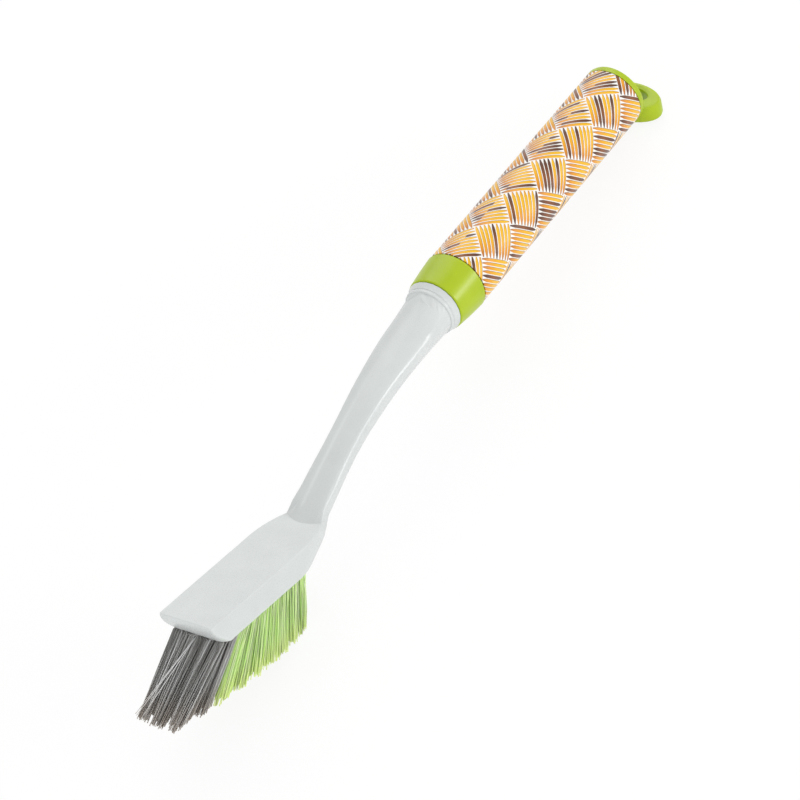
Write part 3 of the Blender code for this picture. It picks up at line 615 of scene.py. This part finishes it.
# The sleeve is a printed film with a soft gloss, shrunk onto the tube. Its print is a plain diagonal
# basket weave of pointed strokes, gold and orange with brown ones between, each with a thin dark edge, on
# a white ground.
sleeve = merged_copy("printed_sleeve", "printed_film_sleeve")
stand_for(sleeve, "printed_sleeve", angle=20)
STRANDS_ROUND = 4
STROKES_IN_STRAND = 9
GOLD_SHARE = 0.68  # of the strokes are gold and orange, and the rest brown
TIP_HALF_WIDTH = 0.13  # of a stroke, in shares of the room that it has
FULL_HALF_WIDTH = 0.38
FULL_FROM = 0.5  # how soon a stroke reaches its full width
INK_BLUR = 0.03
EDGE_LINE = (0.02, 0.08)  # a stroke's dark edge is solid to the first, and gone by the second
EDGE_LINE_SHOWS = 0.9
STROKE_COLOUR_RUN = 0.8  # how far along its row of colours a stroke runs
DYE_LOT_SHIFT = 0.2  # and how far its start may shift
ROW_SEED_STEP = 17.0
film_finish, tree, shader = finish_named("printed_gloss_film")
place = add_node(tree, "TexCoord").outputs["Object"]
on_handle = add_node(
    tree,
    "Mapping",
    {"Vector": place, "Location": sleeve_middle, "Rotation": handle_turn},
    vector_type="TEXTURE",
)
parts = add_node(tree, "SeparateXYZ", {"Vector": on_handle.outputs["Vector"]})
strand = math.pi * sleeve_diameter / STRANDS_ROUND
turned = add_node(tree, "Math", {0: parts.outputs["Y"], 1: parts.outputs["X"]}, operation="ARCTAN2")
turned = turned.outputs[0]
round_it = add_node(tree, "Math", {0: turned, 1: STRANDS_ROUND / math.tau}, operation="MULTIPLY")
round_it = round_it.outputs[0]
along_it = add_node(tree, "Math", {0: parts.outputs["Z"], 1: 1 / strand}, operation="MULTIPLY").outputs[0]
rising = add_node(tree, "Math", {0: along_it, 1: round_it}, operation="ADD").outputs[0]
falling = add_node(tree, "Math", {0: along_it, 1: round_it}, operation="SUBTRACT").outputs[0]
rising_row = add_node(tree, "Math", {0: rising}, operation="FLOOR").outputs[0]
falling_row = add_node(tree, "Math", {0: falling}, operation="FLOOR").outputs[0]
both_rows = add_node(tree, "Math", {0: rising_row, 1: falling_row}, operation="ADD").outputs[0]
over = add_node(tree, "Math", {0: both_rows, 1: 2.0}, operation="FLOORED_MODULO").outputs[0]
in_rising = add_node(tree, "Math", {0: rising}, operation="FRACT").outputs[0]
in_falling = add_node(tree, "Math", {0: falling}, operation="FRACT").outputs[0]
along = add_node(tree, "Mix", {0: over, 2: in_rising, 3: in_falling}).outputs[0]
across = add_node(tree, "Mix", {0: over, 2: in_falling, 3: in_rising}).outputs[0]
half_turn = add_node(tree, "Math", {0: along, 1: math.pi}, operation="MULTIPLY").outputs[0]
arch = add_node(tree, "Math", {0: half_turn}, operation="SINE").outputs[0]
count = add_node(tree, "Math", {0: across, 1: float(STROKES_IN_STRAND)}, operation="MULTIPLY").outputs[0]
in_stroke = add_node(tree, "Math", {0: count}, operation="FRACT").outputs[0]
from_middle = add_node(tree, "Math", {0: in_stroke, 1: 0.5}, operation="SUBTRACT").outputs[0]
to_side = add_node(tree, "Math", {0: from_middle}, operation="ABSOLUTE").outputs[0]
half_width = add_node(
    tree,
    "MapRange",
    {"Value": arch, "From Max": FULL_FROM, "To Min": TIP_HALF_WIDTH, "To Max": FULL_HALF_WIDTH},
).outputs[0]
within = add_node(tree, "Math", {0: half_width, 1: to_side}, operation="SUBTRACT").outputs[0]
inked = add_node(
    tree, "MapRange", {"Value": within, "From Min": -INK_BLUR, "From Max": INK_BLUR}
).outputs[0]
past_edge = add_node(tree, "Math", {0: from_middle, 1: half_width}, operation="SUBTRACT").outputs[0]
off_edge = add_node(tree, "Math", {0: past_edge}, operation="ABSOLUTE").outputs[0]
edged = add_node(
    tree,
    "MapRange",
    {
        "Value": off_edge,
        "From Min": EDGE_LINE[0],
        "From Max": EDGE_LINE[1],
        "To Min": EDGE_LINE_SHOWS,
        "To Max": 0.0,
    },
).outputs[0]
stroke_number = add_node(tree, "Math", {0: count}, operation="FLOOR").outputs[0]
stroke_seed = add_node(
    tree, "Math", {0: rising_row, 1: ROW_SEED_STEP, 2: stroke_number}, operation="MULTIPLY_ADD"
).outputs[0]
dye_lot = add_node(tree, "TexWhiteNoise", {"W": stroke_seed}, noise_dimensions="1D").outputs["Value"]
from_lot = add_node(tree, "Math", {0: dye_lot, 1: DYE_LOT_SHIFT}, operation="MULTIPLY").outputs[0]
along_stroke = add_node(
    tree, "Math", {0: along, 1: STROKE_COLOUR_RUN, 2: from_lot}, operation="MULTIPLY_ADD"
).outputs[0]
is_brown = add_node(tree, "Math", {0: dye_lot, 1: GOLD_SHARE}, operation="GREATER_THAN").outputs[0]
golden = add_node(tree, "ValToRGB", {"Fac": along_stroke})
brown = add_node(tree, "ValToRGB", {"Fac": along_stroke})
for inks, stops in (
    (golden, ("#ac5a0c", "#ea9a10", "#f6b80c", "#f8c018", "#e48a10")),
    (brown, ("#341c10", "#582c12", "#8c4e16", "#663612", "#402210")),
):
    ramp = inks.color_ramp
    ramp.elements[1].color = linear(stops[-1])
    ramp.elements[0].color = linear(stops[0])
    for i, colour in enumerate(stops[1:-1], start=1):
        ramp.elements.new(i / (len(stops) - 1)).color = linear(colour)
ink = add_node(
    tree, "Mix", {0: is_brown, 6: golden.outputs["Color"], 7: brown.outputs["Color"]}, data_type="RGBA"
).outputs[2]
strokes = add_node(tree, "Mix", {0: inked, 6: linear("#fbf9f5"), 7: ink}, data_type="RGBA").outputs[2]
printed = add_node(tree, "Mix", {0: edged, 6: strokes, 7: linear("#5a3416")}, data_type="RGBA").outputs[2]
tree.links.new(printed, shader.inputs["Base Color"])
set_up(shader, Roughness=0.4, IOR=1.45, Coat_Weight=0.25, Coat_Roughness=0.15)
sleeve.data.materials.append(film_finish)

# The camera stands where the photograph was taken from, given in the head's own frame.
CAMERA_AZIMUTH = math.radians(-53.533)
CAMERA_ELEVATION = math.radians(32.042)
CAMERA_ROLL = math.radians(-5.116)
CAMERA_PLACE = Vector((-1167.7, -951.6, 1014.1)) * MM
CAMERA_LENS = 267.3
CAMERA_SEES = 20.0
back = Vector(
    (
        math.sin(CAMERA_AZIMUTH) * math.cos(CAMERA_ELEVATION),
        -math.cos(CAMERA_AZIMUTH) * math.cos(CAMERA_ELEVATION),
        math.sin(CAMERA_ELEVATION),
    )
)
right = Vector((0.0, 0.0, 1.0)).cross(back).normalized()
looking = Matrix((right, back.cross(right), back)).transposed() @ Matrix.Rotation(CAMERA_ROLL, 3, "Z")
lens = bpy.data.cameras.new("camera")
lens.lens = CAMERA_LENS
lens.clip_end = CAMERA_SEES
camera = bpy.data.objects.new("camera", lens)
bpy.context.scene.collection.objects.link(camera)
camera.matrix_world = head_frame @ Matrix.Translation(CAMERA_PLACE) @ looking.to_4x4()
bpy.context.scene.camera = camera

# A white studio: a pale floor that keeps a faint shadow, a bright surround, and three large soft lamps.
# The camera and reflections see the floor and the surround as white. Other rays get their plain light.
FLOOR_SIZE = 6.0
FLOOR_GLOW = 1.04
FLOOR_GLOW_SHARE = 0.85  # the rest is the painted floor, which takes the shadow
SURROUND_LIGHT = 0.64
SURROUND_SEEN = 1.0


def background_rays(tree):
    """1 for a ray from the camera, a reflection or through glass, and 0 for one that brings light."""
    paths = add_node(tree, "LightPath")
    bent = {0: paths.outputs["Is Glossy Ray"], 1: paths.outputs["Is Transmission Ray"]}
    bent = add_node(tree, "Math", bent, operation="MAXIMUM").outputs[0]
    both = {0: paths.outputs["Is Camera Ray"], 1: bent}
    return add_node(tree, "Math", both, operation="MAXIMUM").outputs[0]


bpy.ops.object.select_all(action="DESELECT")
bpy.ops.mesh.primitive_plane_add(size=FLOOR_SIZE, location=(0.0, 0.0, 0.0))
floor = bpy.context.object
floor.name = "studio_floor"
floor_finish, tree, shader = finish_named("studio_floor_paint")
set_up(shader, Base_Color=linear("#f0f0f0"), Roughness=0.9, Specular_IOR_Level=0.1)
seen = add_node(tree, "Math", {0: background_rays(tree), 1: FLOOR_GLOW_SHARE}, operation="MULTIPLY")
glow = add_node(tree, "Emission", {"Color": (1.0, 1.0, 1.0, 1.0), "Strength": FLOOR_GLOW})
mixed = add_node(tree, "MixShader", {0: seen.outputs[0], 1: shader.outputs[0], 2: glow.outputs[0]})
tree.links.new(mixed.outputs[0], tree.nodes["Material Output"].inputs["Surface"])
floor.data.materials.append(floor_finish)

world = bpy.data.worlds.new("studio")
bpy.context.scene.world = world
world.use_nodes = True
sky = world.node_tree
surround = sky.nodes["Background"]
surround.inputs["Color"].default_value = (1.0, 1.0, 1.0, 1.0)
strength = add_node(
    sky, "MapRange", {"Value": background_rays(sky), "To Min": SURROUND_LIGHT, "To Max": SURROUND_SEEN}
)
sky.links.new(strength.outputs["Result"], surround.inputs["Strength"])

# Each lamp's place, its width and height, and its power.
LAMPS = {
    "back_lamp": ((0.7, 0.5, 0.8), (0.9, 0.9), 3.8),
    "side_lamp": ((0.68, -1.5, 0.36), (0.8, 0.35), 9.4),
    "front_lamp": ((-1.6, -0.35, 0.34), (0.8, 0.8), 7.6),
}
for name, (place, size, power) in LAMPS.items():
    light = bpy.data.lights.new(name, "AREA")
    light.shape = "RECTANGLE"
    light.size, light.size_y = size
    light.energy = power
    lamp = bpy.data.objects.new(name, light)
    bpy.context.scene.collection.objects.link(lamp)
    lamp.location = place
    lamp.rotation_euler = Vector(place).to_track_quat("Z", "Y").to_euler()

bpy.context.scene.view_settings.view_transform = "Standard"
